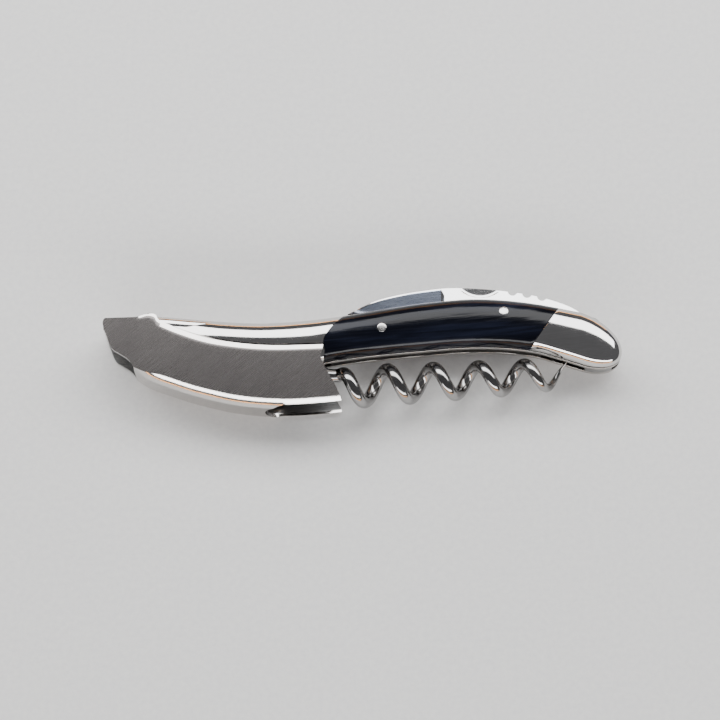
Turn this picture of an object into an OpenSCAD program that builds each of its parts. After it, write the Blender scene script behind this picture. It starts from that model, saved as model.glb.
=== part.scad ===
// Waiter's corkscrew with a curved knife-style handle, lying on its side.
// +X runs along the handle to the rear bolster, +Y to the blade's spine, +Z up.
// Everything is drawn about the handle's mid plane and placed by on_table().

/* [Handle] */
// Overall length of the closed corkscrew
total_len = 135; // [134:1:136]
// Thickness over the two scales
handle_t = 14.4; // [14.2:0.1:14.8]
// Width of the gap between the two liners
gap_w = 3; // [2.9:0.1:3.1]
// Thickness of one liner
liner_t = 1.5; // [1.3:0.1:1.6]
// Exponent of the crowned cross-section, 2 is an ellipse
crown_n = 2.4; // [2:0.1:3]

/* [Lever] */
// Thickness of the lever's pressed cheeks
cheek_t = 1; // [0.9:0.05:1]
// Radius of the pin that the lever swings on
lever_pin_r = 1.6; // [1.2:0.1:1.8]

/* [Worm] */
// Number of turns of the worm
turns = 5; // [4:1:5]
// Distance from one turn to the next
pitch = 11.9; // [11.5:0.1:12]
// Wire radius at the first turn
wire_r = 1.75; // [1.5:0.05:1.8]
// Slope of the worm's axis against the handle, in degrees
worm_slope = 3.4; // [2:0.1:4]

/* [Blade] */
// Thickness of the foil-cutter blade
blade_t = 2.5; // [2:0.1:2.6]
// Radius of the blade's pivot pin
blade_pin_r = 1.5; // [1.2:0.1:1.6]

/* [Hidden] */
$fn = 48;

running = 0.05;          // radial clearance of a joint's bore on its pin
half_t = handle_t / 2;
gap_h = gap_w / 2;
liner_out = gap_h + liner_t;
cheek_in = half_t - cheek_t;
rabbet_z = cheek_in - 0.35;   // floor of the recess under the lever's cheeks
x_right = total_len / 2;
x_left = -total_len / 2;
lever_low = -16.6;
spine_top = 17.2;

lever_axis = [-53.5, 2.5];
worm_axis = [-13.6, -4.6];
blade_axis = [59, 5];
scale_pin_at = [[5, 4.7], [36.7, 9.2]];
head_pin_at = [-32, -2.2];
stop_pin_at = [49.8, 4.2];
scale_pin_r = 1.2;
small_pin_r = 1;
worm_pin_r = 1.25;
washer_r = 3;
nose_r = 6.2;
sweep_r = 7.6;           // the lever's cheeks turn inside this radius of the lever's pin
lug_r = 3.3;
end_x = 57;              // the rounded rear end starts here
blade_tang_r = 4.2;
blind_z = 5;             // pins under the bolsters end here, below the polished surface
past = 1;                // how far a cutter reaches past what it cuts
rim = 0.3;               // the liners stand this far out from under the crowned pieces
seat = 0.35;             // play between the lever's cheeks and the recess they close into
hub_room_r = 3.5;        // round room for the worm's hub between the liners
foot_room_r = 4.2;       // room in the scales for the lever's foot corner
spacer_room_r = 9;       // round room for the blade's tang in front of the rear spacer
overlap = 0.01;          // lets joined solids share a sliver, or parts it at a seam

// Upper and lower edge of the liners, before the rounded rear end
top_pts = [[-62, 8.6], [-53.5, 8.7], [-45, 8], [-35, 7.2], [-26, 6.9], [-15, 7.6], [-5, 8.9],
           [7, 11], [16, 12.4], [28, 13.5], [37, 13.2], [46, 12.1], [end_x, 9.9]];
bot_pts = [[-62, -3.5], [-53.5, -3.7], [-40, -4.2], [-25, -5], [-14, -5], [-8.9, -3.7], [2, -2.1],
           [14, -0.9], [26, 0.1], [36, 0.1], [45, -0.9], [52, -2.9], [end_x, -4.5]];
// Top edge of the lever's cheeks, right of the round ear at its pin
cheek_pts = [[-53, 7], [-50, 5.4], [-47.4, 4.3], [-42, 2.4], [-36.8, 1.2], [-28.9, 0.2],
             [-21, -0.1], [-10.2, 0.2]];
// Lower edge of the lever, from the lifter's tooth to the foot
sole_pts = [[-59.2, -6.3], [-56, -8.6], [-49, -11.3], [-42, -13.5], [-32, -15.7], [-21, lever_low],
            [-13, -16.3], [-4.9, -15.4]];
// Seam between front bolster and scale, given as y and x
seam_pts = [[-9, -7.6], [-6, -9], [-3.5, -10], [-1, -9.9], [1, -10.2], [3, -9.4], [6, -7.1],
            [8.5, -4.7], [12, -1]];
// Blade outline: spine from the tip to the tang, and the edge back again
spine_pts = [[-3.9, 10], [2.8, 13.4], [9.3, 15.3], [16, 16.5], [22.4, spine_top], [30, 17.1],
             [37, 16.4], [46, 14.9], [54, 12.3], [59, 9.2]];
edge_pts = [[-3.9, 10], [6, 10.2], [16, 11], [26, 11.5], [37, 11.6], [43, 11], [48, 9.6]];
// Upper edge of the back spring, under the blade
spring_pts = [[-9, 2], [0, 6.5], [8, 8.3], [20, 9.8], [36, 11], [43, 10], [50, 7.6]];

// Smooth curve through points whose first coordinate grows
function seg(p, x, i = 0) = i >= len(p) - 2 || x < p[i + 1][0] ? i : seg(p, x, i + 1);
function slope(p, i) =
  i == 0 ? (p[1][1] - p[0][1]) / (p[1][0] - p[0][0]) :
  i == len(p) - 1 ? (p[i][1] - p[i - 1][1]) / (p[i][0] - p[i - 1][0]) :
  (p[i + 1][1] - p[i - 1][1]) / (p[i + 1][0] - p[i - 1][0]);
function curve(p, x) =
  let (i = seg(p, x), w = p[i + 1][0] - p[i][0], s = (x - p[i][0]) / w)
  (2 * s^3 - 3 * s^2 + 1) * p[i][1] + (s^3 - 2 * s^2 + s) * w * slope(p, i)
  + (3 * s^2 - 2 * s^3) * p[i + 1][1] + (s^3 - s^2) * w * slope(p, i + 1);
function along(p, a, b, n) = [for (i = [0:n]) let (x = a + (b - a) * i / n) [x, curve(p, x)]];
function end_f(x) = x <= end_x ? 1 : sqrt(max(0, 1 - ((x - end_x) / (x_right - end_x))^2));
function end_mid(x) = 2.7 - (x - end_x) / 3;
function top_y(x) = x <= end_x ? curve(top_pts, x) : end_mid(x) + 7.2 * end_f(x);
function bot_y(x) = x <= end_x ? curve(bot_pts, x) : end_mid(x) - 7.2 * end_f(x);

module on_table() translate([0, -(lever_low + spine_top) / 2, half_t]) children();
module prism(z0, z1) translate([0, 0, z0]) linear_extrude(z1 - z0) children();
module disc(at, r, z0, z1) translate([at[0], at[1], z0]) cylinder(r = r, h = z1 - z0);
module both_sides(z0, z1) { prism(z0, z1) children(); prism(-z1, -z0) children(); }
module pin(at, r, half) disc(at, r, -half, half);
module left_side() children();
module right_side() mirror([0, 0, 1]) children();

// Outline of the handle between two stations
module profile(x0, x1, n) {
  xs = [for (i = [0:n]) x0 + (x1 - x0) * i / n];
  polygon(concat([for (x = xs) [x, top_y(x)]], [for (i = [n:-1:0]) [xs[i], bot_y(xs[i])]]));
}
module rear_end() {
  xs = [for (i = [0:9]) end_x + (x_right - end_x) * sin(10 * i)];
  polygon(concat([for (x = xs) [x, top_y(x)]], [[x_right, end_mid(x_right)]],
                 [for (i = [9:-1:0]) [xs[i], bot_y(xs[i])]]));
}
module scale_pin_holes() for (at = scale_pin_at) pin(at, scale_pin_r, half_t + past);
module blind_pin_holes() {
  for (at = [head_pin_at, stop_pin_at]) pin(at, small_pin_r, blind_z);
  pin(worm_axis, worm_pin_r, blind_z);
  pin(blade_axis, blade_pin_r, blind_z);
}
module lever_pin_hole() pin(lever_axis, lever_pin_r, half_t + past);
module liner() color("silver") difference() {
  union() {
    prism(gap_h, liner_out) profile(lever_axis[0], end_x, 52);
    translate([-overlap, 0]) prism(gap_h, liner_out) rear_end();
    disc(lever_axis, nose_r, gap_h, liner_out);
    disc(worm_axis, lug_r, gap_h, liner_out);
  }
  scale_pin_holes();
  blind_pin_holes();
  lever_pin_hole();
}

// Crowned half of the handle's body, from the liner outwards
crown_steps = 16;
function station(x) =
  let (m = (top_y(x) + bot_y(x)) / 2, h = (top_y(x) - bot_y(x)) / 2 - rim * end_f(x),
       t = (half_t - liner_out) * max(0.03, end_f(x)))
  [for (k = [0:crown_steps]) let (c = -cos(180 * k / crown_steps), s = sin(180 * k / crown_steps))
    [x, m + h * sign(c) * pow(abs(c), 2 / crown_n), liner_out + t * pow(abs(s), 2 / crown_n)]];
module crown(x0, x1, n, slowing = false) {
  rings = [for (i = [0:n]) let (x = x0 + (x1 - x0) * (slowing ? sin(90 * i / n) : i / n))
    station(min(x, x_right - 0.02))];
  w = crown_steps + 1;
  polyhedron([for (r = rings) each r], concat(
    [[for (k = [w - 1:-1:0]) k]], [[for (k = [0:w - 1]) n * w + k]],
    [for (i = [0:n - 1]) for (k = [0:w - 1]) let (q = (k + 1) % w)
      [i * w + k, i * w + q, (i + 1) * w + q, (i + 1) * w + k]]));
}
module seam_side(dx) {
  pts = [for (i = [0:16]) let (y = -9 + 21 * i / 16) [curve(seam_pts, y) + dx, y]];
  far = dx < 0 ? -80 : 80;
  polygon(concat(pts, [[far, 12], [far, -9]]));
}
joint_hi = [51.9, 11.5];
joint_lo = [42.2, -2.5];
module behind_joint(dx) polygon([joint_hi + [dx, 3], joint_lo + [dx, -3], [80, -9], [80, 16]]);
module before_joint() polygon([joint_hi + [0, 3], joint_lo + [0, -3], [-30, -9], [-30, 16]]);

module lever_zone() {
  polygon(concat([for (p = along(cheek_pts, -53, -10.2, 20)) p + [0, seat]],
                 [[-6, 0.6], [-6, -20], [-70, -20], [-70, 7]]));
}
module front_bolster() color("gainsboro") difference() {
  intersection() {
    crown(-59.8, -0.5, 34);
    prism(0, half_t + past) seam_side(-overlap);
    union() {
      prism(0, half_t + past) profile(lever_axis[0], 0, 40);
      disc(lever_axis, nose_r - rim, 0, half_t + past);
    }
  }
  prism(rabbet_z, half_t + past) lever_zone();
  disc(lever_axis, sweep_r, rabbet_z, half_t + past);
  blind_pin_holes();
  lever_pin_hole();
}
module scale() color("midnightblue") difference() {
  intersection() {
    crown(-11, 53.5, 36);
    prism(0, half_t + past) seam_side(overlap);
    prism(0, half_t + past) before_joint();
  }
  disc(worm_axis, foot_room_r, rabbet_z, half_t + past);
  scale_pin_holes();
}
module rear_bolster() color("gainsboro") difference() {
  intersection() {
    union() { crown(41, end_x, 12); crown(end_x - overlap, x_right, 12, true); }
    prism(0, half_t + past) behind_joint(overlap);
  }
  blind_pin_holes();
}

// Between the liners
module back_spring() color("silver") difference() {
  n = 36;
  prism(-gap_h, gap_h)
    polygon(concat(along(spring_pts, -9, 50, n),
                   [for (i = [n:-1:0]) let (x = -8.2 + 55 * i / n) [x, bot_y(x) + 1.2]]));
  pin(blade_axis, blade_tang_r + seat, half_t);
  pin(worm_axis, hub_room_r, half_t);
  scale_pin_holes();
  blind_pin_holes();
}
module head_spacer() color("silver") difference() {
  n = 24;
  prism(-gap_h, gap_h)
    polygon(concat([for (i = [0:n]) let (x = -48 + 37 * i / n) [x, top_y(x)]],
                   [[-11.5, 2], [-17.5, 0]],
                   [for (i = [n:-1:0]) let (x = -48 + 28 * i / n) [x, bot_y(x) + 0.5]]));
  pin(worm_axis, hub_room_r, half_t);
  blind_pin_holes();
}
rear_spacer_x = [58, 65];
module rear_spacer() color("silver") difference() {
  intersection() {
    prism(-gap_h, gap_h) rear_end();
    translate([rear_spacer_x[0], -12, -half_t]) cube([rear_spacer_x[1] - rear_spacer_x[0], 12, handle_t]);
  }
  pin(blade_axis, spacer_room_r, half_t);
}
module scale_pin(i) color("white") pin(scale_pin_at[i], scale_pin_r, half_t - 0.25);
module head_pin() color("white") pin(head_pin_at, small_pin_r, blind_z);
module blade_stop_pin() color("white") pin(stop_pin_at, small_pin_r, blind_z);
module lever_pivot_pin() color("white") pin(lever_axis, lever_pin_r, half_t);
module worm_pivot_pin() color("white") pin(worm_axis, worm_pin_r, blind_z);
module blade_pivot_pin() color("white") pin(blade_axis, blade_pin_r, blind_z);

// Lever: two pressed cheeks, a sole between them and a cap-lifting beak
module lever_outline(rise) {
  polygon(concat(
    [[x_left, 5.6], [-66.9, 7.2], [-62, 7.35], [-58.8, 7.5], [-57.2, 7.95], [-56, 8.4], [-55, 8.5],
     [-53.7, 8.1]],
    along(cheek_pts, -53, -10.2, 20),
    [[-10.8, -3.2], [-9.6, -6.1], [-7.6, -9.6], [-6.2, -12.6]],
    [for (i = [20:-1:0]) let (x = -59.2 + 54.3 * i / 20) [x, curve(sole_pts, x) + rise]],
    [[-59.8, -4.9 + rise / 2], [-61, -3.6], [-63.1, -2.3], [-65, -0.9], [-66.3, 2.2]]));
}
sole_t = 1.3;
ear_r = 5;               // round ear of the cheeks at the lever's pin
// The fork in the sole is concentric with the worm when it stands open
fork_r = 6.2;
fork_x = -19.1;
web_x = -60;
module lever_hollow() {
  polygon(concat([[web_x, 20], [web_x, -5.2]],
                 [for (i = [0:24]) let (x = -58.6 + 53.6 * i / 24) [x, curve(sole_pts, x) + sole_t + 0.6]],
                 [[0, -13.5], [0, 20]]));
}
bevel = [[0, 5.2, 0], [5.2, 6, 0.5], [6, 6.7, 1.2], [6.7, half_t, 2.2]];
module lever() color("slategray") difference() {
  union() {
    for (b = bevel) if (b[0] == 0) prism(-b[1], b[1]) lever_outline(b[2]);
      else both_sides(b[0] - overlap, b[1]) lever_outline(b[2]);
    pin(lever_axis, ear_r, half_t);
  }
  prism(-cheek_in, cheek_in) lever_hollow();
  translate([-80, -5.2, -cheek_in]) cube([20.5, 9.2, 2 * cheek_in]);
  translate([fork_x, 0, 0]) rotate([90, 0, 0]) cylinder(r = fork_r, h = 30);
  translate([fork_x, -30, -fork_r]) cube([30, 30, 2 * fork_r]);
  pin(lever_axis, lever_pin_r + running, half_t + past);
}
module washer(at, pin_radius, z0, z1) color("goldenrod") difference() {
  disc(at, washer_r, z0, z1);
  disc(at, pin_radius, z0 - past, z1 + past);
}
module lever_washer() washer(lever_axis, lever_pin_r, rabbet_z, cheek_in - 0.03);
module blade_washer() washer(blade_axis, blade_pin_r, blade_t / 2 + 0.02, gap_h);

// Worm: flat knuckle on its pin, then a round wire that winds right-handed to a point
neck_to = [-8.6, -6.6];
hub_h = gap_h - 0.15;
hub_r = 2.9;
module worm_hub() color("silver") difference() {
  union() {
    pin(worm_axis, hub_r, hub_h);
    prism(-hub_h, hub_h) polygon([worm_axis + [0.5, 2.6], neck_to + [0, 1.5], neck_to + [0, -1.5],
                                  worm_axis + [-0.8, -2.7]]);
  }
  pin(worm_axis, worm_pin_r + running, half_t);
}
first_x = -5.9;
coil_r = 4.15;
start_r = 3.3;
tip_r = 3.1;
flare = 0.5;             // the point stands out by this much over the last part of the turn
flare_turn = 0.07;
thinning = 0.18;         // how much thinner the wire is one turn before its point
rings_per_turn = 16;
sides = 10;
function axis_y(x) = -8.9 + (x - 6.9) * tan(worm_slope);
// s runs from 0 at the first crest to the number of turns at the point
function coil_radius(s) = s < 0.25 ? start_r + (coil_r - start_r) * sin(360 * s)
  : coil_r + (tip_r - coil_r) * (s - 0.25) / (turns - 0.25)
    + flare * max(0, (s - turns) / flare_turn + 1);
function coil_pt(s) = let (x = first_x + pitch * s, r = coil_radius(s))
  [x, axis_y(x) + r * cos(360 * s), r * sin(360 * s)];
function coil_wire(s) = s < turns - 1 ? wire_r - thinning * s / (turns - 1)
  : (wire_r - thinning) * (1 - 0.9 * pow(s - turns + 1, 2));
shank = [[-10.2, -6.15, 0], [-9, -6.35, 0], [-7.6, -6.45, 0]];
coil_s = [for (i = [0:rings_per_turn * turns]) i / rings_per_turn];
path = concat(shank, [for (s = coil_s) coil_pt(s)]);
radii = concat([for (p = shank) wire_r], [for (s = coil_s) coil_wire(s)]);
function unit(v) = v / norm(v);
function tangent(i) = unit(path[min(i + 1, len(path) - 1)] - path[max(i - 1, 0)]);
function wire_ring(i) = let (t = tangent(i), u = unit(cross([0.05, 1, 0.02], t)), v = cross(t, u))
  [for (k = [0:sides - 1]) path[i] + radii[i] * (cos(360 * k / sides) * u + sin(360 * k / sides) * v)];
module worm() color("lightsteelblue") {
  n = len(path);
  polyhedron([for (i = [0:n - 1]) each wire_ring(i)], concat(
    [[for (k = [sides - 1:-1:0]) k]], [[for (k = [0:sides - 1]) (n - 1) * sides + k]],
    [for (i = [0:n - 2]) for (k = [0:sides - 1]) let (q = (k + 1) % sides)
      [i * sides + k, i * sides + q, (i + 1) * sides + q, (i + 1) * sides + k]]));
}

// Foil cutter
notch_r = 1.25;
notch_at = [[39.4, 16.4], [43.2, 15.8], [47.1, 15]];
module blade() color("lightsteelblue") difference() {
  union() {
    prism(-blade_t / 2, blade_t / 2)
      polygon(concat(along(spine_pts, -3.9, 59, 44), [blade_axis],
                     [for (i = [24:-1:1]) let (x = -3.9 + 51.9 * i / 24) [x, curve(edge_pts, x)]]));
    pin(blade_axis, blade_tang_r, blade_t / 2);
  }
  for (at = notch_at) pin(at, notch_r, half_t);
  pin(blade_axis, blade_pin_r + running, half_t);
}

on_table() left_side() liner();  // liner_left
on_table() right_side() liner();  // liner_right
on_table() left_side() front_bolster();  // front_bolster_left
on_table() right_side() front_bolster();  // front_bolster_right
on_table() left_side() scale();  // scale_left
on_table() right_side() scale();  // scale_right
on_table() left_side() rear_bolster();  // rear_bolster_left
on_table() right_side() rear_bolster();  // rear_bolster_right
on_table() back_spring();
on_table() head_spacer();
on_table() rear_spacer();
on_table() scale_pin(0);  // scale_pin_front
on_table() scale_pin(1);  // scale_pin_rear
on_table() head_pin();
on_table() blade_stop_pin();
on_table() lever_pivot_pin();
on_table() worm_pivot_pin();
on_table() blade_pivot_pin();
on_table() lever();
on_table() left_side() lever_washer();  // lever_washer_left
on_table() right_side() lever_washer();  // lever_washer_right
on_table() worm_hub();
on_table() worm();
on_table() blade();
on_table() left_side() blade_washer();  // blade_washer_left
on_table() right_side() blade_washer();  // blade_washer_right
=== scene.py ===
"""Waiter's corkscrew, lying closed on its side. Lengths are written in millimetres about the
handle's mid plane, as in the CAD source, and put() turns them into metres in the CAD frame."""

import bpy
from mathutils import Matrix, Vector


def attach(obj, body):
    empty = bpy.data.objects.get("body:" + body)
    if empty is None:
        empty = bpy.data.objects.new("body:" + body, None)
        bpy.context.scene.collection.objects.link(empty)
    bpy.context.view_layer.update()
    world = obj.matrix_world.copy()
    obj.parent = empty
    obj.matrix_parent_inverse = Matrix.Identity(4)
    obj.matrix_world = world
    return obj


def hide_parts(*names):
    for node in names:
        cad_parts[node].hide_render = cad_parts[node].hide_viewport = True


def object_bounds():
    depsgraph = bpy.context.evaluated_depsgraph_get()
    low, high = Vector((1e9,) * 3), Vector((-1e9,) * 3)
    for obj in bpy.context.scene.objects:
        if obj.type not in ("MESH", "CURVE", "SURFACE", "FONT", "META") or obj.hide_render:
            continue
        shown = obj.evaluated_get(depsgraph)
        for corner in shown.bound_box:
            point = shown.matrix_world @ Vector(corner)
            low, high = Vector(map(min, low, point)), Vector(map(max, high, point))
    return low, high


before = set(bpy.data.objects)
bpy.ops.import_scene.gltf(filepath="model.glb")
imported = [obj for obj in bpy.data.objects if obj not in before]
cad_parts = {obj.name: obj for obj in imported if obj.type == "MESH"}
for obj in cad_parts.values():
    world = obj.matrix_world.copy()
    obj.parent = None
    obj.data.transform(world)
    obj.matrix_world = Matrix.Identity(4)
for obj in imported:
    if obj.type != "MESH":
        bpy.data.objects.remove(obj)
cad_box = [list(corner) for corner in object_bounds()]

import math

import bmesh
import bpy
from mathutils import Vector

MM = 0.001
MERGE = 1e-6                    # metres within which neighbouring vertices become one
WELD = 1e-7                     # metres within which a border lies on its base
SIDES = ((1, "left"), (-1, "right"))

HALF_T = 7.2                    # half thickness of the closed corkscrew
Y_SHIFT = -0.3                  # the mid plane's origin against the frame's origin
INSIDE = 0.02                   # visible faces and seams stay this far inside the CAD's
LINER_IN, LINER_OUT = 1.5, 3.0
CHEEK_IN = 6.2                  # inner face of the lever's cheek
RABBET_Z = 5.85                 # outer face of the head plate, under the cheek
CROWN_UNDER = 0.05              # the crown stays this far under the closed half thickness
CROWN_T = HALF_T - LINER_OUT - CROWN_UNDER
CROWN_N = 2.4                   # how square the crown's section is; 2 would be an ellipse
CROWN_LEAST = 0.03              # share of the crown's height that is left at the rounded tip
RIM = 0.3                       # the liner's rim shows this far past scales and bolsters
GROOVE = 0.1                    # chamfer beside a seam
SEAM_ANGLE = 35                 # degrees above which an edge of a crowned piece is sharp
X_RIGHT, END_X = 67.5, 57.0     # the rounded end's tip and where it starts
END_HALF, END_MIDDLE = 7.2, 2.7
LEVER_AXIS = (-53.5, 2.5)
WORM_AXIS = (-13.6, -4.6)
BLADE_AXIS = (59.0, 5.0)
SCALE_PINS = {"front": (5.0, 4.7), "rear": (36.7, 9.2)}
NOSE_R, SWEEP_R, LUG_R = 6.2, 7.6, 3.3

TOP = [(-62, 8.6), (-53.5, 8.7), (-45, 8), (-35, 7.2), (-26, 6.9), (-15, 7.6), (-5, 8.9),
       (7, 11), (16, 12.4), (28, 13.5), (37, 13.2), (46, 12.1), (END_X, 9.9)]
BOTTOM = [(-62, -3.5), (-53.5, -3.7), (-40, -4.2), (-25, -5), (-14, -5), (-8.9, -3.7), (2, -2.1),
          (14, -0.9), (26, 0.1), (36, 0.1), (45, -0.9), (52, -2.9), (END_X, -4.5)]
CHEEK_TOP = [(-53, 7), (-50, 5.4), (-47.4, 4.3), (-42, 2.4), (-36.8, 1.2), (-28.9, 0.2),
             (-21, -0.1), (-10.2, 0.2)]
SOLE = [(-59.2, -6.3), (-56, -8.6), (-49, -11.3), (-42, -13.5), (-32, -15.7), (-21, -16.6),
        (-13, -16.3), (-4.9, -15.4)]
SEAM = [(-9, -7.6), (-6, -9), (-3.5, -10), (-1, -9.9), (1, -10.2), (3, -9.4), (6, -7.1),
        (8.5, -4.7), (12, -1)]
SPINE = [(-3.9, 10), (2.8, 13.4), (9.3, 15.3), (16, 16.5), (22.4, 17.2), (30, 17.1),
         (37, 16.4), (46, 14.9), (54, 12.3), (59, 9.2)]
EDGE = [(-3.9, 10), (6, 10.2), (16, 11), (26, 11.5), (37, 11.6), (43, 11), (48, 9.6)]
JOINT_HI, JOINT_LO = (51.9, 11.5), (42.2, -2.5)


# ---------------------------------------------------------------- numbers and curves
def lerp(a, b, t):
    return a + (b - a) * t


def unit(value):
    """A value held between 0 and 1."""
    return min(1.0, max(0.0, value))


def crowded(i, n):
    """Share i of n, with the shares crowded towards both ends."""
    return 0.5 - 0.5 * math.cos(math.pi * i / n)


def around(n):
    """Each index of a closed ring with the index after it."""
    return [(i, (i + 1) % n) for i in range(n)]


def on_circle(centre, radius, angle):
    return (centre[0] + radius * math.cos(angle), centre[1] + radius * math.sin(angle))


def curve(points, x):
    """Smooth curve through points whose first coordinate grows, as in the CAD source. It is held
    at its first and last point outside them."""
    x = min(max(x, points[0][0]), points[-1][0])
    last = len(points) - 1
    i = 0
    while i < last - 1 and x >= points[i + 1][0]:
        i += 1

    def slope(k):
        a, b = points[max(k - 1, 0)], points[min(k + 1, last)]
        return (b[1] - a[1]) / (b[0] - a[0])

    w = points[i + 1][0] - points[i][0]
    s = (x - points[i][0]) / w
    return ((2 * s**3 - 3 * s**2 + 1) * points[i][1] + (s**3 - 2 * s**2 + s) * w * slope(i)
            + (3 * s**2 - 2 * s**3) * points[i + 1][1] + (s**3 - s**2) * w * slope(i + 1))


def polyline(points, per=8):
    """Points along a Catmull-Rom curve through a list of points in the plane."""
    out = []
    for i in range(len(points) - 1):
        p0, p1, p2 = points[max(i - 1, 0)], points[i], points[i + 1]
        p3 = points[min(i + 2, len(points) - 1)]
        for k in range(per):
            t = k / per
            out.append(tuple(0.5 * (2 * p1[d] + (p2[d] - p0[d]) * t
                                    + (2 * p0[d] - 5 * p1[d] + 4 * p2[d] - p3[d]) * t * t
                                    + (3 * p1[d] - p0[d] - 3 * p2[d] + p3[d]) * t**3) for d in (0, 1)))
    return out + [tuple(points[-1])]


def resample(line, n):
    """n + 1 points evenly spaced along a polyline."""
    length = [0.0]
    for a, b in zip(line, line[1:]):
        length.append(length[-1] + math.dist(a, b))
    out = []
    k = 0
    for i in range(n + 1):
        want = length[-1] * i / n
        while k < len(line) - 2 and length[k + 1] < want:
            k += 1
        t = (want - length[k]) / max(length[k + 1] - length[k], 1e-9)
        out.append((lerp(line[k][0], line[k + 1][0], t), lerp(line[k][1], line[k + 1][1], t)))
    return out


# ---------------------------------------------------------------- the handle's crowned side
def end_factor(x):
    """How much of its height the handle still has in the rounded end."""
    return 1.0 if x <= END_X else math.sqrt(max(0.0, 1 - ((x - END_X) / (X_RIGHT - END_X)) ** 2))


def end_middle(x):
    return END_MIDDLE - (x - END_X) / 3


def end_station(share):
    """A station in the rounded end; equal steps of the share come closer towards the tip."""
    return END_X + (X_RIGHT - END_X) * math.sin(math.pi / 2 * share)


def top_y(x):
    return curve(TOP, x) if x <= END_X else end_middle(x) + END_HALF * end_factor(x)


def bottom_y(x):
    return curve(BOTTOM, x) if x <= END_X else end_middle(x) - END_HALF * end_factor(x)


def squared(value):
    """A sine or cosine raised to the crown's power, with its sign kept."""
    return math.copysign(abs(value) ** (2 / CROWN_N), value)


def crown_point(x, angle):
    """Point of the crowned side at a station; angle 0 is the belly rim, pi the spine rim."""
    x = min(x, X_RIGHT - INSIDE)
    mid = (top_y(x) + bottom_y(x)) / 2
    half = (top_y(x) - bottom_y(x)) / 2 - RIM * end_factor(x)
    height = CROWN_T * max(CROWN_LEAST, end_factor(x))
    return (x, mid + half * squared(-math.cos(angle)), LINER_OUT + height * squared(math.sin(angle)))


def crown_y(x, angle):
    return crown_point(x, angle)[1]


def crown_share(x, y):
    """The crown's height at a place on the side, as a share of its full height."""
    mid = (top_y(x) + bottom_y(x)) / 2
    half = (top_y(x) - bottom_y(x)) / 2 - RIM
    return (1 - min(1.0, abs((y - mid) / half)) ** CROWN_N) ** (1 / CROWN_N)


def crown_angles():
    """Angles of the rows, crowded towards the rims, where the crown turns fastest."""
    return [math.pi * crowded(i, 36) for i in range(37)]


# ---------------------------------------------------------------- mesh helpers
def put(p):
    return Vector((p[0] * MM, (p[1] + Y_SHIFT) * MM, (p[2] + HALF_T) * MM))


def plane_place(co):
    """Back from a mesh's metres to x and y in the source's millimetres."""
    return co.x / MM, co.y / MM - Y_SHIFT


def add_bevel(obj, width, segments, angle):
    """Rounds the edges sharper than an angle in degrees by a width in millimetres."""
    bevel = obj.modifiers.new("edge", "BEVEL")
    bevel.width = width * MM
    bevel.segments = segments
    bevel.limit_method = "ANGLE"
    bevel.angle_limit = math.radians(angle)
    return bevel


def finish_mesh(bm, name, smooth):
    """Welds, orients and shades a bmesh, and makes it an object."""
    bmesh.ops.remove_doubles(bm, verts=bm.verts, dist=MERGE)
    bmesh.ops.recalc_face_normals(bm, faces=bm.faces)
    mesh = bpy.data.meshes.new(name)
    bm.to_mesh(mesh)
    bm.free()
    obj = bpy.data.objects.new(name, mesh)
    bpy.context.scene.collection.objects.link(obj)
    mesh.shade_smooth()
    mesh.set_sharp_from_angle(angle=math.radians(smooth))
    return obj


def add_grid(bm, rows, keep=lambda r, c: True):
    """Quads between rows of vertices given as points."""
    verts = [[bm.verts.new(put(p)) for p in row] for row in rows]
    for r in range(len(rows) - 1):
        for c in range(len(rows[0]) - 1):
            if keep(r, c):
                bm.faces.new((verts[r][c], verts[r][c + 1], verts[r + 1][c + 1], verts[r + 1][c]))
    return verts


def add_tube(bm, rings):
    """Quads between closed rings of vertices given as points."""
    verts = [[bm.verts.new(put(p)) for p in ring] for ring in rings]
    for a, b in zip(verts, verts[1:]):
        for i, j in around(len(a)):
            bm.faces.new((a[i], a[j], b[j], b[i]))
    return verts


def add_prism(bm, outline, z0, z1):
    low, high = add_tube(bm, [[(x, y, z) for x, y in outline] for z in (z0, z1)])
    bm.faces.new(low[::-1])
    bm.faces.new(high)


def border_of(grid):
    """The outer vertices of a grid, counted once round."""
    last_column = [row[-1] for row in grid[1:]]
    first_column = [row[0] for row in grid[-2:0:-1]]
    return grid[0] + last_column + grid[-1][-2::-1] + first_column


def mirrored(rows, side):
    return [[(x, y, z * side) for x, y, z in row] for row in rows]


def crowned_piece(name, rows, side):
    """Closed body between rows of points on the crown and the liner's outer face."""
    bm = bmesh.new()
    border = border_of(add_grid(bm, mirrored(rows, side)))
    base_z = (HALF_T + side * LINER_OUT) * MM
    base = [bm.verts.new((vert.co.x, vert.co.y, base_z)) for vert in border]
    for i, j in around(len(border)):
        if (border[i].co - base[i].co).length > WELD or (border[j].co - base[j].co).length > WELD:
            bm.faces.new((border[j], border[i], base[i], base[j]))
    bm.faces.new(base)
    return finish_mesh(bm, name, SEAM_ANGLE)


def soften_end(row, end, inner):
    """Sinks the end of a row by a small chamfer, so that neighbours meet in a fine groove."""
    a, b = Vector(row[end]), Vector(row[inner])
    row[inner] = tuple(a + (b - a).normalized() * GROOVE)
    row[end] = (a.x, a.y, max(LINER_OUT, a.z - 0.8 * GROOVE))


# ---------------------------------------------------------------- material helpers
def new_material(name):
    mat = bpy.data.materials.new(name)
    mat.use_nodes = True
    tree = mat.node_tree
    coord = tree.nodes.new("ShaderNodeTexCoord")
    return mat, tree, tree.nodes["Principled BSDF"], coord.outputs["Object"]


def node(tree, kind, **values):
    """A new node with its sockets or settings filled in by name."""
    made = tree.nodes.new("ShaderNode" + kind)
    for key, value in values.items():
        if key in made.inputs:
            made.inputs[key].default_value = value
        else:
            setattr(made, key, value)
    return made


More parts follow.
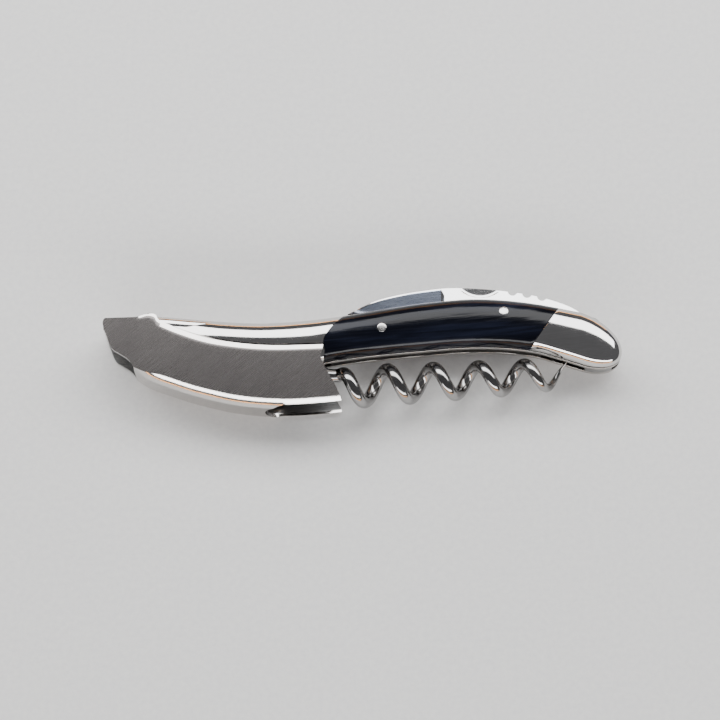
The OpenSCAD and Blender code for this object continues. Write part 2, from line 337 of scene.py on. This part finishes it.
def mapped(tree, coord, scale, turn):
    """Coordinates turned about +Z and then stretched, so streaks run along the turned direction."""
    turned = node(tree, "Mapping", Rotation=(0, 0, -turn))
    tree.links.new(coord, turned.inputs["Vector"])
    stretched = node(tree, "Mapping", Scale=scale)
    tree.links.new(turned.outputs["Vector"], stretched.inputs["Vector"])
    return stretched.outputs["Vector"]


def noise(tree, vector, scale, detail, rough=0.55):
    made = node(tree, "TexNoise", Scale=scale, Detail=detail, Roughness=rough)
    tree.links.new(vector, made.inputs["Vector"])
    return made.outputs["Fac"]


def ramp(tree, value, low, high):
    """Colour from two stops, each a position and its colour."""
    made = node(tree, "ValToRGB")
    tree.links.new(value, made.inputs["Fac"])
    for element, (position, colour) in zip(made.color_ramp.elements, (low, high)):
        element.position = position
        element.color = (*colour, 1)
    return made.outputs["Color"]


def span(tree, value, low, high):
    """Spreads the middle part of a noise over the numbers from low to high."""
    limits = {"From Min": 0.3, "From Max": 0.7, "To Min": low, "To Max": high}
    made = node(tree, "MapRange", **limits)
    tree.links.new(value, made.inputs["Value"])
    return made.outputs["Result"]


MIX_SOCKETS = {"FLOAT": (2, 3, 0), "RGBA": (6, 7, 2)}


def mix(tree, kind, factor, first, second, **settings):
    """A mix of two values; the sockets for each kind of data stand at their own places."""
    made = node(tree, "Mix", data_type=kind, **settings)
    made.inputs[0].default_value = factor
    first_at, second_at, result_at = MIX_SOCKETS[kind]
    tree.links.new(first, made.inputs[first_at])
    tree.links.new(second, made.inputs[second_at])
    return made.outputs[result_at]


def bump(tree, shader, value, strength, distance):
    made = node(tree, "Bump", Strength=strength, Distance=distance)
    tree.links.new(value, made.inputs["Height"])
    tree.links.new(made.outputs["Normal"], shader.inputs["Normal"])


def steel(name, dark, light, rough, turn=0.0, strength=0.1, length=4.0, width=0.12):
    """Steel with fine drawn lines, their length and width in millimetres, over faint clouding."""
    mat, tree, shader, coord = new_material(name)
    shader.inputs["Metallic"].default_value = 1.0
    across = 1 / (width * MM)
    lines = noise(tree, mapped(tree, coord, (1 / (length * MM), across, across), turn), 1.0, 3.0)
    tint = mix(tree, "FLOAT", 0.45, noise(tree, coord, 110.0, 3.0), lines)
    tree.links.new(ramp(tree, tint, (0.3, dark), (0.7, light)), shader.inputs["Base Color"])
    tree.links.new(span(tree, lines, *rough), shader.inputs["Roughness"])
    bump(tree, shader, lines, strength, 0.01 * MM)
    return mat


# ---------------------------------------------------------------- materials
def mirror_steel():
    return steel("mirror_steel", (0.56, 0.55, 0.54), (0.66, 0.65, 0.64), rough=(0.05, 0.1),
                 turn=0.1, strength=0.03, length=9.0, width=0.3)


def satin_steel():
    """The lever's cheek, drawn at a slant."""
    return steel("satin_steel", (0.145, 0.135, 0.133), (0.175, 0.165, 0.16), rough=(0.24, 0.29),
                 turn=0.7, strength=0.06, length=8.0, width=0.08)


def edge_steel():
    """The lever's bevels and sole."""
    return steel("polished_edge", (0.56, 0.54, 0.52), (0.7, 0.68, 0.66), rough=(0.08, 0.16),
                 turn=-0.1, strength=0.04, length=9.0, width=0.2)


def liner_steel():
    return steel("liner_steel", (0.4, 0.385, 0.37), (0.52, 0.5, 0.48), rough=(0.14, 0.24), turn=0.1)


def worm_steel():
    # The steel's own grey, darkened as painted shade for the dark surroundings that the wire mirrors.
    return steel("worm_steel", (0.25, 0.245, 0.245), (0.38, 0.375, 0.37), rough=(0.08, 0.18),
                 turn=0.3, length=2.0, width=0.3)


def ground_steel_painted_sky():
    """The blade's ground face: the steel's own grey, tinted blue as a painted reflection of the cool
    sky it mirrors in the photograph.
    """
    return steel("ground_steel_painted_sky", (0.46, 0.52, 0.66), (0.54, 0.6, 0.74), rough=(0.25, 0.3),
                 turn=0.1, strength=0.02, length=6.0, width=0.15)


def blade_steel():
    return steel("blade_steel", (0.62, 0.62, 0.62), (0.74, 0.74, 0.74), rough=(0.08, 0.15),
                 turn=0.05, strength=0.04, length=8.0, width=0.2)


def spring_steel():
    return steel("spring_steel", (0.22, 0.22, 0.22), (0.32, 0.32, 0.32), rough=(0.25, 0.4),
                 strength=0.2)


def pin_steel():
    return steel("pin_steel", (0.45, 0.45, 0.45), (0.68, 0.67, 0.66), rough=(0.12, 0.3),
                 turn=0.6, strength=0.3, length=1.0, width=0.1)


def brass():
    return steel("brass", (0.5, 0.34, 0.14), (0.62, 0.44, 0.2), rough=(0.25, 0.4))


def horn():
    """Navy-black horn: lengthwise streaks and faint ripples under a hard polish."""
    mat, tree, shader, coord = new_material("horn")
    grain_turn = 0.1
    fibres = noise(tree, mapped(tree, coord, (50, 1300, 900), grain_turn), 1.0, 5.0, 0.6)
    clouds = noise(tree, mapped(tree, coord, (35, 330, 200), grain_turn), 1.0, 3.0)
    streaks = ramp(tree, fibres, (0.35, (0.001, 0.0013, 0.003)), (0.8, (0.004, 0.005, 0.011)))
    haze = ramp(tree, clouds, (0.45, (0.0, 0.0, 0.0)), (0.75, (0.007, 0.009, 0.018)))
    colour = mix(tree, "RGBA", 1.0, streaks, haze, blend_type="ADD")
    tree.links.new(colour, shader.inputs["Base Color"])
    tree.links.new(span(tree, fibres, 0.1, 0.2), shader.inputs["Roughness"])
    shader.inputs["Specular IOR Level"].default_value = 0.24
    bump(tree, shader, clouds, 0.4, 0.25 * MM)
    return mat


def pale_floor():
    mat, tree, shader, coord = new_material("floor")
    speckle = noise(tree, coord, 700.0, 2.0)
    colour = ramp(tree, speckle, (0.3, (0.74, 0.74, 0.74)), (0.7, (0.8, 0.8, 0.79)))
    tree.links.new(colour, shader.inputs["Base Color"])
    shader.inputs["Roughness"].default_value = 0.7
    return mat


MATS = {"mirror": mirror_steel(), "satin": satin_steel(), "edge": edge_steel(),
        "liner": liner_steel(), "worm": worm_steel(), "ground": ground_steel_painted_sky(),
        "blade": blade_steel(), "spring": spring_steel(), "pin": pin_steel(),
        "brass": brass(), "horn": horn()}


def own(piece, body, looks, node_name):
    """Hands a finished piece to its body, its materials and the CAD node it shows."""
    for look in looks:
        piece.data.materials.append(MATS[look])
    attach(piece, body)
    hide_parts(node_name)


# ---------------------------------------------------------------- handle
def before_seam(y):
    """Where the head's bolster ends at the horn."""
    return curve(SEAM, y) - INSIDE


def behind_seam(y):
    return curve(SEAM, y) + INSIDE


def joint_x(y):
    return lerp(JOINT_LO[0], JOINT_HI[0], (y - JOINT_LO[1]) / (JOINT_HI[1] - JOINT_LO[1]))


def before_joint(y):
    """Where the horn ends at the rear bolster."""
    return joint_x(y) - INSIDE


def behind_joint(y):
    return joint_x(y) + INSIDE


def meet(seam, height, row):
    """Station where a row, whose height is height(x, row), meets a seam given as x of y."""
    x = seam(4.0)
    for _ in range(30):
        x = lerp(x, seam(height(x, row)), 0.6)
    return x


def scale_rows():
    rows = []
    columns = 96
    for angle in crown_angles():
        front = meet(behind_seam, crown_y, angle)
        rear = meet(before_joint, crown_y, angle)
        row = [crown_point(lerp(front, rear, c / columns), angle) for c in range(columns + 1)]
        soften_end(row, 0, 1)
        soften_end(row, -1, -2)
        rows.append(row)
    return rows


def build_scales():
    for side, word in SIDES:
        piece = crowned_piece("horn_scale_" + word, scale_rows(), side)
        own(piece, "handle", ["horn"], "scale_" + word)


def rounded_end_rows():
    rows = []
    for angle in crown_angles():
        start = meet(behind_joint, crown_y, angle)
        row = [crown_point(lerp(start, END_X, c / 20), angle) for c in range(20)]
        row += [crown_point(end_station(c / 28), angle) for c in range(29)]
        soften_end(row, 0, 1)
        rows.append(row)
    return rows


def build_rear_bolsters():
    for side, word in SIDES:
        piece = crowned_piece("polished_end_" + word, rounded_end_rows(), side)
        own(piece, "handle", ["mirror"], "rear_bolster_" + word)


BAND_X, BAND_GAP, BAND_DROP = -53.0, 0.35, 0.12
BAND_LOW, BAND_BLEND = 0.76, 9.0
PLATE_X = -59.3


def band_y(x, share):
    """Height in the head band, from its lower edge just above the lever to its rim."""
    high = top_y(x) - RIM
    low = min(curve(CHEEK_TOP, x) + BAND_GAP, high - INSIDE)
    return lerp(low, high, share)


def band_rise(x, y):
    """The band thins where the lever's cheeks turn about their pin."""
    t = unit((math.dist((x, y), LEVER_AXIS) - SWEEP_R) / BAND_BLEND)
    return CROWN_T * lerp(BAND_LOW, 1.0, t * t * (3 - 2 * t))


def band_rows():
    """Rows of the polished head band; the lowest is sunk, so that its edge looks rounded."""
    rows = []
    rows_n, columns = 26, 90
    for k in range(rows_n + 1):
        share = crowded(k, rows_n)
        drop = BAND_DROP if k == 0 else 0.0
        stop = meet(before_seam, band_y, share)
        row = []
        for c in range(columns + 1):
            x = lerp(BAND_X, stop, c / columns)
            y = band_y(x, share)
            row.append((x, y, LINER_OUT + band_rise(x, y) * crown_share(x, y) - drop))
        rows.append(row)
    return rows


def plate_y(x, angle):
    """Height of the head plate's surface; angle 0 is the belly rim, pi the spine rim."""
    top, low = top_y(x) - RIM, bottom_y(x) + RIM
    if x < LEVER_AXIS[0]:
        reach = math.sqrt(max(0.01, (NOSE_R - RIM) ** 2 - (x - LEVER_AXIS[0]) ** 2))
        top, low = LEVER_AXIS[1] + reach, LEVER_AXIS[1] - reach
    return (top + low) / 2 - (top - low) / 2 * squared(math.cos(angle))


def plate_rows():
    """Rows of the plate under the lever's cheek: flat, and crowned down towards its rims."""
    rows = []
    rows_n, columns = 16, 60
    for k in range(rows_n + 1):
        angle = math.pi * k / rows_n
        z = min(LINER_OUT + CROWN_T * squared(math.sin(angle)), RABBET_Z)
        stop = meet(before_seam, plate_y, angle)
        stations = [lerp(PLATE_X, stop, c / columns) for c in range(columns + 1)]
        rows.append([(x, plate_y(x, angle), z) for x in stations])
    return rows


def build_front_bolsters():
    for side, word in SIDES:
        for name, rows in (("head_band_", band_rows()), ("head_plate_", plate_rows())):
            piece = crowned_piece(name + word, rows, side)
            own(piece, "handle", ["mirror"], "front_bolster_" + word)


def lugged_bottom_y(x):
    """The liner's lower edge with the round lug that holds the worm's pin."""
    y, dx = bottom_y(x), abs(x - WORM_AXIS[0])
    return min(y, WORM_AXIS[1] - math.sqrt(LUG_R**2 - dx**2)) if dx < LUG_R else y


def liner_outline():
    """Handle's outline with its round nose, counted once round."""
    stations = [lerp(LEVER_AXIS[0], END_X, i / 150) for i in range(151)]
    end = [end_station(i / 24) for i in range(1, 25)]
    top = [(x, top_y(x)) for x in stations + end]
    low = [(x, lugged_bottom_y(x)) for x in reversed(stations + end[:-1])]
    nose = [on_circle(LEVER_AXIS, NOSE_R, math.pi * (1.5 - i / 30)) for i in range(1, 30)]
    return top + low + nose


def build_liners():
    for side, word in SIDES:
        bm = bmesh.new()
        add_prism(bm, liner_outline(), side * LINER_IN, side * LINER_OUT)
        piece = finish_mesh(bm, "liner_plate_" + word, 40)
        add_bevel(piece, 0.18, 3, 40).harden_normals = True
        own(piece, "handle", ["liner"], "liner_" + word)


PIN_PROFILE = [(0.0, 0.045), (0.7, 0.04), (1.05, 0.03), (1.17, 0.0), (1.2, -0.06)]


def pin_ring(at, side, radius, lift):
    """Ring of a pin's head, lying on the crown and lifted from it."""
    ring = []
    for i in range(40):
        x, y = on_circle(at, radius, math.pi * i / 20)
        ring.append((x, y, side * (LINER_OUT + CROWN_T * crown_share(at[0], y) + lift)))
    return ring


def build_scale_pins():
    """Pins whose heads follow the crown, one piece per pin with both its ends."""
    for word, at in SCALE_PINS.items():
        near = [pin_ring(at, 1, radius, lift) for radius, lift in PIN_PROFILE]
        far = [pin_ring(at, -1, radius, lift) for radius, lift in reversed(PIN_PROFILE)]
        bm = bmesh.new()
        add_tube(bm, near + far)
        piece = finish_mesh(bm, "pin_heads_" + word, 50)
        own(piece, "handle", ["pin"], "scale_pin_" + word)


# ---------------------------------------------------------------- lever
EAR_TOP = [(-66.9, 7.2), (-62, 7.35), (-58.8, 7.5), (-57.2, 7.95), (-56, 8.4), (-55, 8.5),
           (-53.7, 8.1), (-52.9, 6.8)]
LEVER_TOP = EAR_TOP + CHEEK_TOP[1:]
BEAK_FRONT = [(-66.9, 7.2), (-67.45, 6.3), (-67.2, 4.6), (-66.3, 2.2), (-65, -0.9), (-63.1, -2.3),
              (-61, -3.6), (-59.8, -4.9)]
FOOT_END = [(-10.2, 0.2), (-10.5, -1.6), (-10.8, -3.2), (-9.6, -6.1), (-7.6, -9.6), (-6.3, -12.4)]
LIP_FRONT = [(-67.3, 4.2), (-67.4, 6.2), (-66.9, 7.1), (-64, 7.25), (-60.3, 7.5)]
LIP_BACK = [(-60.1, 7.2), (-60.1, 4.3), (-60.4, 4.05), (-66.9, 4.05)]
LIP_OVERLAP = 0.05
FORK_X, FORK_R = -19.1, 6.2
CREASE, CREASE_LEAST, CREASE_END = 2.2, 0.3, -5.9
ROLL_W, ROLL_DROP, EAR_ROLL_W, ROLL_X = 1.3, 0.22, 0.5, -58.5
LEVER_COLUMNS, CHEEK_ROWS = 130, 26
FORK_ROW = CHEEK_ROWS + 2       # the fork is cut from this row of the sole on

# bevel, rounding and half of the sole, as (share of the crease's height, z)
SOLE_PROFILE = ([(0.72, 6.75), (0.4, 6.1), (0.2, 5.5), (0.06, 4.9)]
                + [(0.0, 4.2 - 0.6 * k) for k in range(8)])


def crease_y(x):
    """Where the flat cheek ends and the polished bevel starts."""
    full = math.sin(math.pi / 2 * unit((x - SOLE[0][0]) / 9))
    return curve(SOLE, x) + lerp(CREASE_LEAST, CREASE, full)


def roll_width(x):
    """The cheek's rolled edge is narrow over the ear and widens behind it."""
    return lerp(EAR_ROLL_W, ROLL_W, unit((x + 56) / 4))


def cheek_borders():
    """The cheek's top, crease, beak and foot, each with evenly spaced points."""
    stations = [lerp(SOLE[0][0], CREASE_END, i / 200) for i in range(201)]
    top = resample(polyline(LEVER_TOP), LEVER_COLUMNS)
    low = resample([(x, crease_y(x)) for x in stations], LEVER_COLUMNS)
    left = resample(polyline(BEAK_FRONT + [low[0]]), CHEEK_ROWS)
    right = resample(polyline(FOOT_END + [low[-1]]), CHEEK_ROWS)
    return top, low, left, right


def cheek_place(borders, r, c):
    """Coons patch: the place at a row and a column, blended from the four borders."""
    top, low, left, right = borders
    u, v = c / LEVER_COLUMNS, r / CHEEK_ROWS
    place = []
    for d in (0, 1):
        edges = lerp(top[c][d], low[c][d], v) + lerp(left[r][d], right[r][d], u)
        corners = lerp(lerp(top[0][d], top[-1][d], u), lerp(low[0][d], low[-1][d], u), v)
        place.append(edges - corners)
    return place


def cheek_rows(borders):
    rows = []
    for r in range(CHEEK_ROWS + 1):
        row = []
        for c in range(LEVER_COLUMNS + 1):
            x, y = cheek_place(borders, r, c)
            below_top = r / CHEEK_ROWS * (curve(CHEEK_TOP, x) - curve(SOLE, x))
            fall = max(0.0, 1 - below_top / roll_width(x))
            roll = ROLL_DROP * ROLL_W * fall * unit((x - ROLL_X) / 3)
            row.append((x, y, HALF_T - INSIDE - roll))
        rows.append(row)
    return rows


def sole_rows(crease):
    """Rows from the crease to the middle of the sole; the foot's end leans outwards."""
    rows = []
    for share, z in SOLE_PROFILE:
        row = []
        for x, y in crease:
            base = curve(SOLE, x)
            push = 0.8 * (1 - share) * unit((x + 12) / 6)
            row.append((x + push, lerp(base, y, share), z))
        rows.append(row)
    return rows


def snap_fork(rows):
    """Moves the nearest column of each row onto the round-bottomed fork, and lists those columns."""
    shares = {z: share for share, z in SOLE_PROFILE}
    cut = {}
    for r in range(FORK_ROW, len(rows) - FORK_ROW):
        z = rows[r][0][2]
        x_cut = FORK_X - math.sqrt(FORK_R**2 - z**2)
        gaps = [abs(x - x_cut) for x, _, _ in rows[r]]
        cut[r] = gaps.index(min(gaps))
        rows[r][cut[r]] = (x_cut, lerp(curve(SOLE, x_cut), crease_y(x_cut), shares[abs(z)]), z)
    return cut


def add_lever_sheet(bm, rows, cut):
    """The lever's outer face, with the fork left out and its stepped edge filled by triangles."""
    def keep(r, c):
        return r not in cut or r + 1 not in cut or c < min(cut[r], cut[r + 1])

    verts = add_grid(bm, rows, keep)
    for r in list(cut)[:-1]:
        near, far = (r, r + 1) if cut[r] < cut[r + 1] else (r + 1, r)
        for c in range(cut[near], cut[far]):
            bm.faces.new((verts[near][cut[near]], verts[far][c], verts[far][c + 1]))
    for vert in [vert for vert in bm.verts if not vert.link_faces]:
        bm.verts.remove(vert)


def face_outwards(bm):
    """Turns the sheet's faces so that those of the near cheek face up."""
    bmesh.ops.remove_doubles(bm, verts=bm.verts, dist=MERGE)
    bmesh.ops.recalc_face_normals(bm, faces=bm.faces)
    cheek = [face for face in bm.faces if face.calc_center_median().z > (HALF_T + 7) * MM]
    if sum(face.normal.z * face.calc_area() for face in cheek) < 0:
        bmesh.ops.reverse_faces(bm, faces=bm.faces)


def clear_fork(vert):
    """Moves a vertex of the sheet's inner face out of the fork, which the worm swings through."""
    x, z = vert.co.x / MM - FORK_X, vert.co.z / MM - HALF_T
    wall = FORK_R + INSIDE
    if x > 0 and abs(z) < wall:
        vert.co.z = (math.copysign(wall, z) + HALF_T) * MM
    elif x <= 0 and math.hypot(x, z) < wall:
        grow = wall / math.hypot(x, z)
        vert.co.x = (x * grow + FORK_X) * MM
        vert.co.z = (z * grow + HALF_T) * MM


def lever_look(face, outer):
    """Index of a face's look: 0 satin cheek, 1 polished edge and sole, 2 plain inner face."""
    ends = {vert in outer for vert in face.verts}
    x, y = plane_place(face.calc_center_median())
    rolled = x > ROLL_X and y > curve(LEVER_TOP, min(x, CHEEK_TOP[-1][0])) - roll_width(x)
    below = x > SOLE[0][0] and y < crease_y(min(x, CREASE_END)) - INSIDE
    if ends == {False}:
        return 2
    return 1 if rolled or below or len(ends) == 2 else 0


def build_lever_shell():
    borders = cheek_borders()
    near = cheek_rows(borders) + sole_rows(borders[1])
    rows = near + mirrored(near[-2::-1], -1)
    bm = bmesh.new()
    add_lever_sheet(bm, rows, snap_fork(rows))
    face_outwards(bm)
    outer = set(bm.verts)
    bmesh.ops.solidify(bm, geom=bm.faces[:], thickness=(HALF_T - CHEEK_IN) * MM)
    for vert in bm.verts:
        if vert not in outer:
            clear_fork(vert)
    for face in bm.faces:
        face.material_index = lever_look(face, outer)
    shell = finish_mesh(bm, "lever_shell", 22)
    add_bevel(shell, 0.16, 2, 40)
    own(shell, "lever", ["satin", "edge", "spring"], "lever")


def build_lever_lip():
    """The lip that bridges the two cheeks at the beak."""
    reach = CHEEK_IN + LIP_OVERLAP
    bm = bmesh.new()
    add_prism(bm, polyline(LIP_FRONT, 6) + LIP_BACK, -reach, reach)
    lip = finish_mesh(bm, "lever_lip", 40)
    add_bevel(lip, 0.12, 2, 40).harden_normals = True
    own(lip, "lever", ["edge"], "lever")


# ---------------------------------------------------------------- worm
TURNS, PITCH, WIRE_R = 5, 11.9, 1.75
FIRST_X, COIL_R, START_R, TIP_R = -5.9, 4.15, 3.3, 3.1
LEAD = 0.25                     # turns over which the coil opens to its full radius
THINNING, FLARE, FLARE_TURN = 0.18, 0.5, 0.07
COIL_AXIS, SLOPE = (6.9, -8.9), math.tan(math.radians(3.4))
SHANK = [(-10.2, -6.15, 0.0), (-9.0, -6.35, 0.0), (-7.6, -6.45, 0.0)]
WIRE_STEPS, WIRE_SIDES = 56, 28
NEVER_ALONG = Vector((0.05, 1, 0.02))    # a direction that the wire never takes


def coil_radius(s):
    """Radius of the coil after s turns; the point flares out a little at the very end."""
    if s < LEAD:
        return START_R + (COIL_R - START_R) * math.sin(math.pi / 2 * s / LEAD)
    return lerp(COIL_R, TIP_R, (s - LEAD) / (TURNS - LEAD)) + FLARE * unit((s - TURNS) / FLARE_TURN + 1)


def coil_point(s):
    x, r = FIRST_X + PITCH * s, coil_radius(s)
    middle = COIL_AXIS[1] + (x - COIL_AXIS[0]) * SLOPE
    return Vector((x, middle + r * math.cos(2 * math.pi * s), r * math.sin(2 * math.pi * s)))


def wire_radius(s):
    """The wire thins slowly, and over the last turn it runs out into a point."""
    if s < TURNS - 1:
        return WIRE_R - THINNING * s / (TURNS - 1)
    return (WIRE_R - THINNING) * (1 - 0.95 * (s - TURNS + 1) ** 2)


def wire_ring(middle, along, radius):
    u = NEVER_ALONG.cross(along).normalized()
    v = along.cross(u)
    angles = [2 * math.pi * k / WIRE_SIDES for k in range(WIRE_SIDES)]
    return [tuple(middle + radius * (math.cos(a) * u + math.sin(a) * v)) for a in angles]


def build_worm():
    turned = [i / WIRE_STEPS for i in range(WIRE_STEPS * TURNS + 1)]
    path = [Vector(p) for p in SHANK] + [coil_point(s) for s in turned]
    radii = [WIRE_R - INSIDE] * len(SHANK) + [wire_radius(s) - INSIDE / 2 for s in turned]
    rings = []
    for i, radius in enumerate(radii):
        along = (path[min(i + 1, len(path) - 1)] - path[max(i - 1, 0)]).normalized()
        rings.append(wire_ring(path[i], along, radius))
    bm = bmesh.new()
    verts = add_tube(bm, rings)
    bm.faces.new(verts[0][::-1])
    bm.faces.new(verts[-1])
    own(finish_mesh(bm, "worm_wire", 60), "worm", ["worm"], "worm")


# ---------------------------------------------------------------- blade
BLADE_H = 1.24                  # half thickness
SPINE_THINNING, THIN_FROM = 0.55, 0.25
GRIND_X, GRIND_SLANT, GRIND_STEP = 21.5, 2.4, 0.5
EDGE_H, GRIND_RISE, FLAT_SHARE = 0.18, 0.7, 0.9
SCOOP_AT, SCOOP_R, SCOOP_REACH = (31.0, 22.3), 7.8, 0.69
SCOOP_STEP, SCOOP_FALL, SCOOP_BACK = 0.42, 0.4, 0.29
NOTCHES, NOTCH_R = ((39.4, 16.4), (43.2, 15.8), (47.1, 15.0)), 1.25
SPINE_SOFT = 0.12               # chamfer along the spine
TANG_R = 4.2
BLADE_ROWS = 40
POINT_X = SPINE[0][0]
GROUND_X, GROUND_MARGIN, GROUND_TAPER = 20.6, 0.45, 0.12


def spine_y(x):
    """The spine with its row of round notches."""
    y = curve(SPINE, x)
    for cx, cy in NOTCHES:
        if abs(x - cx) < NOTCH_R:
            y = min(y, cy - math.sqrt(NOTCH_R**2 - (x - cx) ** 2))
    return y


def blade_edge_y(x):
    """The cutting edge, and behind it a straight heel down to the blade's axis."""
    heel_x, heel_y = EDGE[-1]
    if x < heel_x:
        return curve(EDGE, x)
    return lerp(heel_y, BLADE_AXIS[1], (x - heel_x) / (BLADE_AXIS[0] - heel_x))


def blade_half(x, y, v):
    """Half thickness: ground towards the edge in front, scooped for the thumb behind. The share
    v runs from 0 at the edge to 1 at the spine."""
    z = BLADE_H - SPINE_THINNING * max(0.0, v - THIN_FROM)
    grind_end = GRIND_X - GRIND_SLANT * max(0.0, v - 0.6)
    if x < grind_end:
        ground = EDGE_H + GRIND_RISE * min(v, FLAT_SHARE) ** 0.8 - max(0.0, v - FLAT_SHARE)
        z = lerp(z, ground, min(1.0, (grind_end - x) / GRIND_STEP))
    depth = min(SCOOP_R - math.dist((x, y), SCOOP_AT), SCOOP_REACH)
    if depth > 0:
        z = min(z, BLADE_H - SCOOP_STEP - SCOOP_FALL * depth + SCOOP_BACK * depth**2)
    return z


def blade_stations():
    """Even stations, finer ones at the grind's end and round ones in the notches."""
    even = [lerp(POINT_X, BLADE_AXIS[0], i / 240) for i in range(241)]
    fine = [19.5 + 0.1 * i for i in range(22)]
    notched = [cx + NOTCH_R * math.cos(math.pi * k / 10) for cx, _ in NOTCHES for k in range(11)]
    return sorted(set(even + fine + notched))


def blade_rows():
    rows = []
    for k in range(BLADE_ROWS + 1):
        v = k / BLADE_ROWS
        row = []
        for x in blade_stations():
            low = blade_edge_y(x)
            y = lerp(low, max(low + INSIDE, spine_y(x)), v)
            z = blade_half(x, y, v)
            row.append((x, y, max(SPINE_SOFT, z - SPINE_SOFT) if k == BLADE_ROWS else z))
        rows.append(row)
    return rows


def is_ground(face):
    """Whether a face belongs to the ground part, inside its narrow margin along the spine."""
    x, y = plane_place(face.center)
    margin = min(GROUND_MARGIN, GROUND_TAPER * (x - POINT_X))
    return x < GROUND_X and spine_y(x) - y > margin and abs(face.normal.z) > 0.5


def build_blade():
    rows = blade_rows()
    bm = bmesh.new()
    near = border_of(add_grid(bm, rows))
    far = border_of(add_grid(bm, mirrored(rows, -1)))
    for i, j in around(len(near)):
        bm.faces.new((near[j], near[i], far[i], far[j]))
    tang = [on_circle(BLADE_AXIS, TANG_R, math.pi * i / 32) for i in range(64)]
    add_prism(bm, tang, INSIDE / 2 - BLADE_H, BLADE_H - INSIDE / 2)
    piece = finish_mesh(bm, "cutter_blade", 28)
    own(piece, "blade", ["blade", "ground"], "blade")
    for face in piece.data.polygons:
        face.material_index = 1 if is_ground(face) else 0


# ---------------------------------------------------------------- carried-over CAD pieces
CAD_LOOKS = {"spring": ["back_spring", "head_spacer", "rear_spacer"],
             "pin": ["head_pin", "blade_stop_pin", "worm_pivot_pin", "blade_pivot_pin"],
             "satin": ["lever_pivot_pin"],
             "worm": ["worm_hub"],
             "brass": ["lever_washer_left", "lever_washer_right", "blade_washer_left",
                       "blade_washer_right"]}


def finish_cad_nodes():
    for look, names in CAD_LOOKS.items():
        for name in names:
            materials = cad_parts[name].data.materials
            materials.clear()
            materials.append(MATS[look])
    add_bevel(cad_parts["worm_hub"], 0.3, 3, 40)


# ---------------------------------------------------------------- stage, light, camera
CAMERA_TILT, CAMERA_FAR, CAMERA_LENS = math.radians(15), 0.729, 139.55


def build_stage():
    bm = bmesh.new()
    bmesh.ops.create_grid(bm, x_segments=2, y_segments=2, size=1.5)
    mesh = bpy.data.meshes.new("floor")
    bm.to_mesh(mesh)
    bm.free()
    floor = bpy.data.objects.new("floor", mesh)
    floor.location = (0, 0, cad_box[0][2] - 0.2 * MM)
    bpy.context.scene.collection.objects.link(floor)
    mesh.materials.append(pale_floor())


def add_area_light(name, place, size, power, colour=(1, 1, 1)):
    """Rectangular light aimed at the middle of the corkscrew."""
    lamp = bpy.data.lights.new(name, "AREA")
    lamp.shape = "RECTANGLE"
    lamp.size, lamp.size_y = size
    lamp.energy = power
    lamp.color = colour
    obj = bpy.data.objects.new(name, lamp)
    obj.location = place
    obj.rotation_euler = (-Vector(place)).to_track_quat("-Z", "Y").to_euler()
    bpy.context.scene.collection.objects.link(obj)


def build_light():
    """A key strip behind, a narrow fill in front, and two low warm strips for the rims."""
    world = bpy.data.worlds.new("studio")
    bpy.context.scene.world = world
    world.use_nodes = True
    sky = world.node_tree.nodes["Background"]
    sky.inputs["Color"].default_value = (0.5, 0.5, 0.52, 1)
    sky.inputs["Strength"].default_value = 0.28
    add_area_light("key", (0.0, 0.36, 0.46), (1.9, 0.32), 12.0)
    add_area_light("fill", (0.0, -0.5, 0.25), (1.2, 0.12), 3.6)
    for y in (-0.5, 0.5):
        add_area_light("warm", (0.0, y, 0.05), (1.0, 0.04), 0.6, (1.0, 0.5, 0.2))


def build_camera():
    camera = bpy.data.cameras.new("camera")
    camera.lens = CAMERA_LENS
    camera.sensor_width = 36.0
    camera.clip_start = 0.01
    back = Vector((0, -math.sin(CAMERA_TILT), math.cos(CAMERA_TILT)))
    obj = bpy.data.objects.new("camera", camera)
    obj.location = put((-0.65, -2.2, 0.0)) + CAMERA_FAR * back
    obj.rotation_euler = (CAMERA_TILT, 0, 0)
    bpy.context.scene.collection.objects.link(obj)
    bpy.context.scene.camera = obj


build_scales()
build_rear_bolsters()
build_front_bolsters()
build_liners()
build_scale_pins()
build_lever_shell()
build_lever_lip()
build_worm()
build_blade()
finish_cad_nodes()
build_stage()
build_light()
build_camera()
